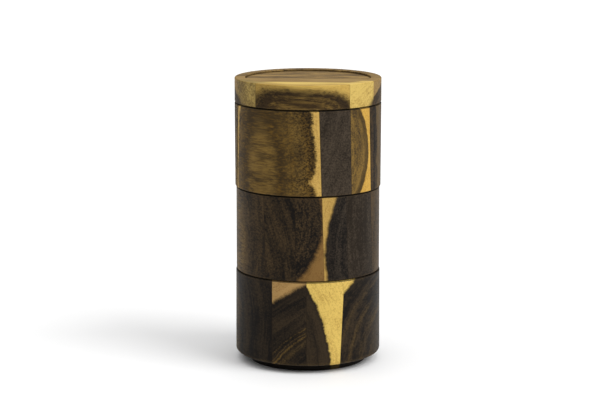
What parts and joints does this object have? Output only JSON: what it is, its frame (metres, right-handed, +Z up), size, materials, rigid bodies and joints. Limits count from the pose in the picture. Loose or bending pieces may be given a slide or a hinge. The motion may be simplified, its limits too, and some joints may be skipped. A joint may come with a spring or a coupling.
{
  "type": "stacking wooden canister",
  "caption": "Cylindrical tower of turned wooden bowls stacked by spigot feet under a dished lid; each tier turns and lifts off, and holds small dry goods.",
  "frame": {"origin": "middle of the foot's flat underside, on the axis of the tower", "axes": "+Z up along the axis of the tower; -Y is the front, where the pale streaks of the bowls line up"},
  "size_m": [0.09, 0.09, 0.1763],
  "materials": {
    "dark_heartwood": "oiled, satin",
    "brown_heartwood": "oiled, satin",
    "pale_sapwood": "oiled, satin",
    "silicone": "matte"
  },
  "bodies": {
    "bottom_bowl": {"bottom_bowl_strip_1": "dark_heartwood", "bottom_bowl_strip_2": "dark_heartwood", "bottom_bowl_strip_3": "pale_sapwood", "bottom_bowl_strip_4": "dark_heartwood"},
    "middle_seal": {"middle_seal": "silicone"},
    "middle_bowl": {"middle_bowl_strip_1": "dark_heartwood", "middle_bowl_strip_2": "dark_heartwood", "middle_bowl_strip_3": "dark_heartwood", "middle_bowl_strip_4": "brown_heartwood", "middle_bowl_strip_5": "dark_heartwood", "middle_bowl_strip_6": "dark_heartwood"},
    "top_seal": {"top_seal": "silicone"},
    "top_bowl": {"top_bowl_strip_1": "brown_heartwood", "top_bowl_strip_2": "brown_heartwood", "top_bowl_strip_3": "dark_heartwood", "top_bowl_strip_4": "pale_sapwood", "top_bowl_strip_5": "dark_heartwood", "top_bowl_strip_6": "brown_heartwood"},
    "lid_seal": {"lid_seal": "silicone"},
    "lid": {"lid_strip_1": "brown_heartwood", "lid_strip_2": "pale_sapwood", "lid_strip_3": "brown_heartwood", "lid_strip_4": "brown_heartwood", "lid_strip_5": "brown_heartwood", "lid_strip_6": "dark_heartwood"}
  },
  "joints": [
    {"name": "middle_lift", "type": "slide", "parent": "bottom_bowl", "child": "middle_seal", "axis": [0, 0, 1], "range_m": [0, 0.075]},
    {"name": "middle_turn", "type": "hinge", "parent": "middle_seal", "child": "middle_bowl", "pos_m": [0, 0, 0.057], "axis": [0, 0, 1], "continuous": true},
    {"name": "top_lift", "type": "slide", "parent": "middle_bowl", "child": "top_seal", "axis": [0, 0, 1], "range_m": [0, 0.075]},
    {"name": "top_turn", "type": "hinge", "parent": "top_seal", "child": "top_bowl", "pos_m": [0, 0, 0.109], "axis": [0, 0, 1], "continuous": true},
    {"name": "lid_lift", "type": "slide", "parent": "top_bowl", "child": "lid_seal", "axis": [0, 0, 1], "range_m": [0, 0.075]},
    {"name": "lid_turn", "type": "hinge", "parent": "lid_seal", "child": "lid", "pos_m": [0, 0, 0.161], "axis": [0, 0, 1], "continuous": true}
  ]
}
